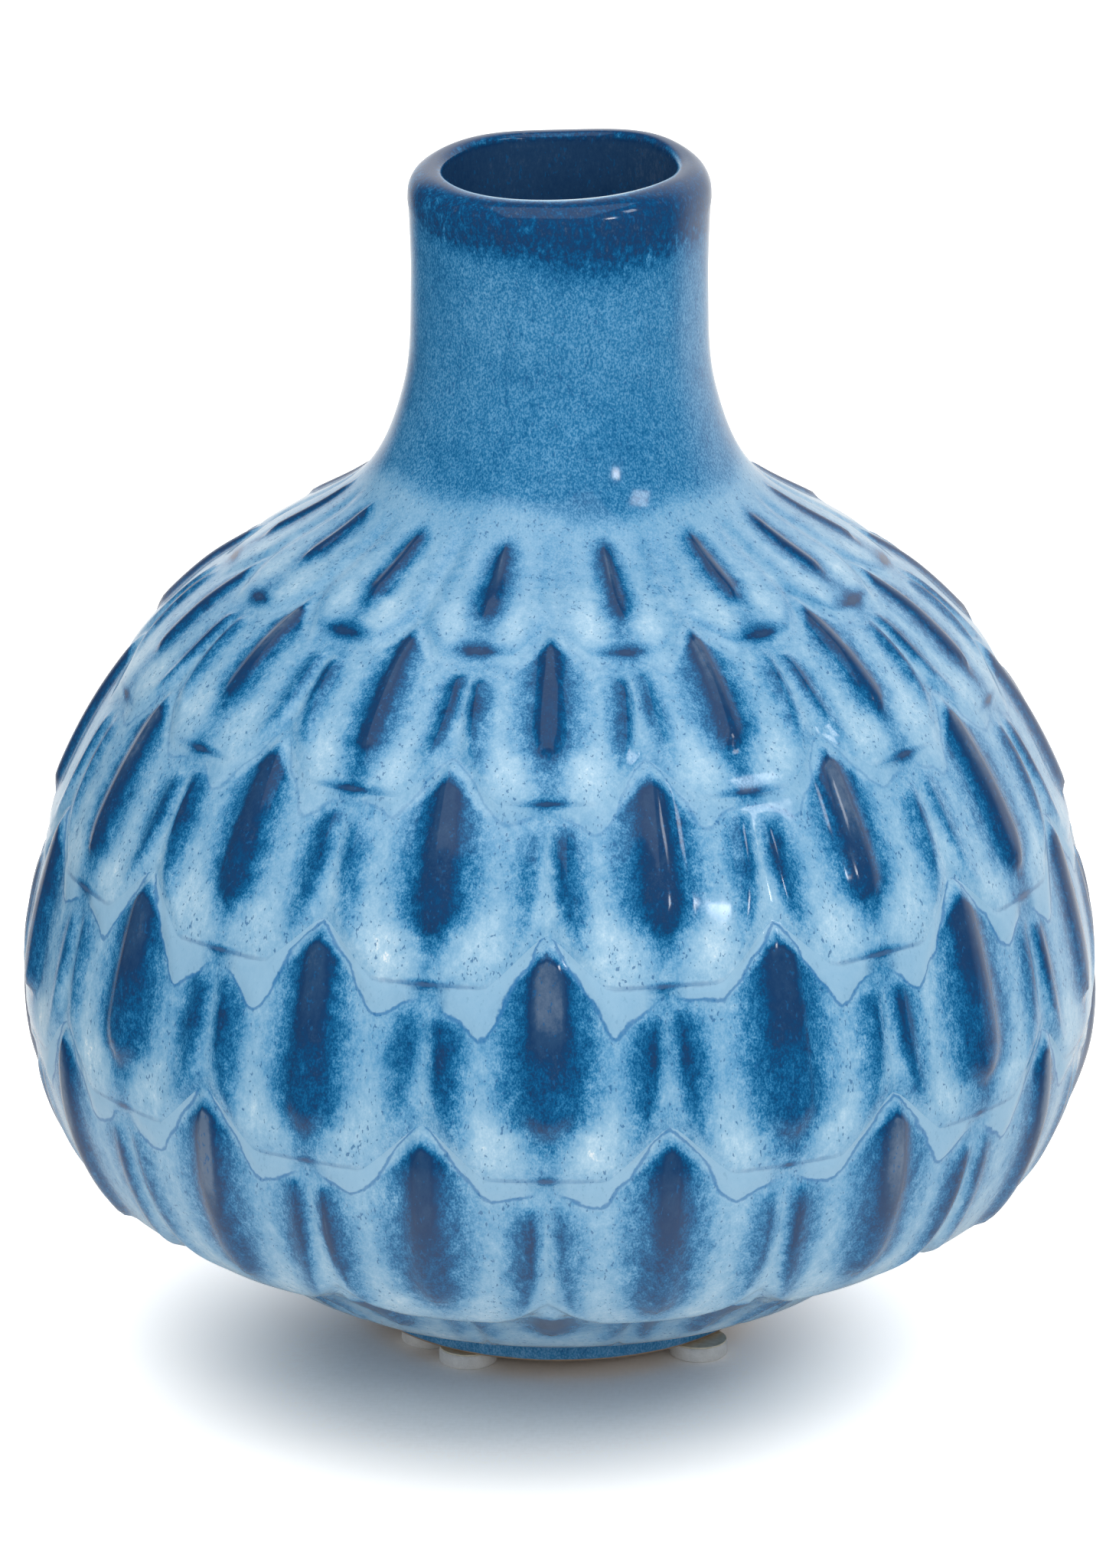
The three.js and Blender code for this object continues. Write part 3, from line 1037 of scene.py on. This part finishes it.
def make_camera():
    data = bpy.data.cameras.new("camera")
    data.lens = LENS
    data.sensor_width = SENSOR
    data.clip_end = 20.0
    camera = bpy.data.objects.new("camera", data)
    camera.location = polar(CAMERA_DISTANCE, CAMERA_AZIMUTH, CAMERA_ELEVATION, CAMERA_PIVOT_HEIGHT)
    aim(camera, (0, 0, AIM_HEIGHT))
    bpy.context.scene.collection.objects.link(camera)
    bpy.context.scene.camera = camera


def make_softbox(name, azimuth, elevation, distance, width, height, power, mirrored=True):
    """An area light that faces the vase. A fill light leaves no reflection in the glaze."""
    data = bpy.data.lights.new(name, "AREA")
    data.shape = "RECTANGLE"
    data.size = width
    data.size_y = height
    data.energy = power
    light = bpy.data.objects.new(name, data)
    light.location = polar(distance, azimuth, elevation, CAMERA_PIVOT_HEIGHT)
    aim(light, (0, 0, CAMERA_PIVOT_HEIGHT))
    light.visible_glossy = mirrored
    bpy.context.scene.collection.objects.link(light)


FLOOR_REACH = 3.0
FLOOR_CLEARANCE = 0.00002


def make_floor():
    reach = FLOOR_REACH
    corners = [(-reach, -reach, 0), (reach, -reach, 0), (reach, reach, 0), (-reach, reach, 0)]
    mesh = bpy.data.meshes.new("floor")
    mesh.from_pydata(corners, [], [(0, 1, 2, 3)])
    floor = bpy.data.objects.new("floor", mesh)
    floor.location.z = -FLOOR_CLEARANCE
    floor.data.materials.append(floor_material())
    bpy.context.scene.collection.objects.link(floor)


# The room's strength as light, and how bright the glaze mirrors its front, back and floor
WORLD_LIGHT = 0.66
FRONT_GLOSS = 0.06
BACK_GLOSS = 1.0
FLOOR_GLOSS = 0.25
LEFT_SHADE = 0.4
# Directions, as parts of a unit vector, over which the back, the lower back and the floor fade in
BACK_FADE = (0.4, 0.9)
LOW_FADE = (-0.75, -0.45)
FLOOR_FADE = (-0.4, -1.0)


def make_world():
    """A white room: full white to look at, softer as light, and dark in reflections of its front."""
    world = bpy.data.worlds.new("studio")
    world.use_nodes = True
    bpy.context.scene.world = world
    n = Nodes(world.node_tree)
    background = n.tree.nodes["Background"]
    background.inputs["Color"].default_value = (1, 1, 1, 1)
    path = n.add("LightPath")
    parts = n.add("SeparateXYZ")
    n.link(n.add("TexCoord").outputs["Generated"], parts.inputs[0])

    backwards = n.math("MULTIPLY_ADD", parts.outputs["X"], LEFT_SHADE, parts.outputs["Y"])
    backdrop = n.between(backwards, *BACK_FADE, FRONT_GLOSS, BACK_GLOSS)
    above = n.between(parts.outputs["Z"], *LOW_FADE)
    below = n.between(parts.outputs["Z"], *FLOOR_FADE, 0.0, FLOOR_GLOSS)
    mirrored = n.math("MAXIMUM", n.math("MULTIPLY", backdrop, above), below)

    as_light = n.add("Mix")
    as_light.inputs[2].default_value = WORLD_LIGHT
    n.link(path.outputs["Is Glossy Ray"], as_light.inputs[0])
    n.link(mirrored, as_light.inputs[3])
    seen = n.math("MAXIMUM", path.outputs["Is Camera Ray"], as_light.outputs[0])
    n.link(seen, background.inputs["Strength"])


def make_studio():
    make_floor()
    make_world()
    make_camera()
    for softbox in SOFTBOXES:
        make_softbox(**softbox)
    bpy.context.scene.view_settings.view_transform = "Standard"


make_studio()
make_vase()
felt = felt_material()
film = adhesive_material()
for seed, place in enumerate(PAD_PLACES, start=SEED + 1):
    make_felt("felt_pad_" + place, seed, felt)
    dress_cad_node("adhesive_disc_" + place, film)
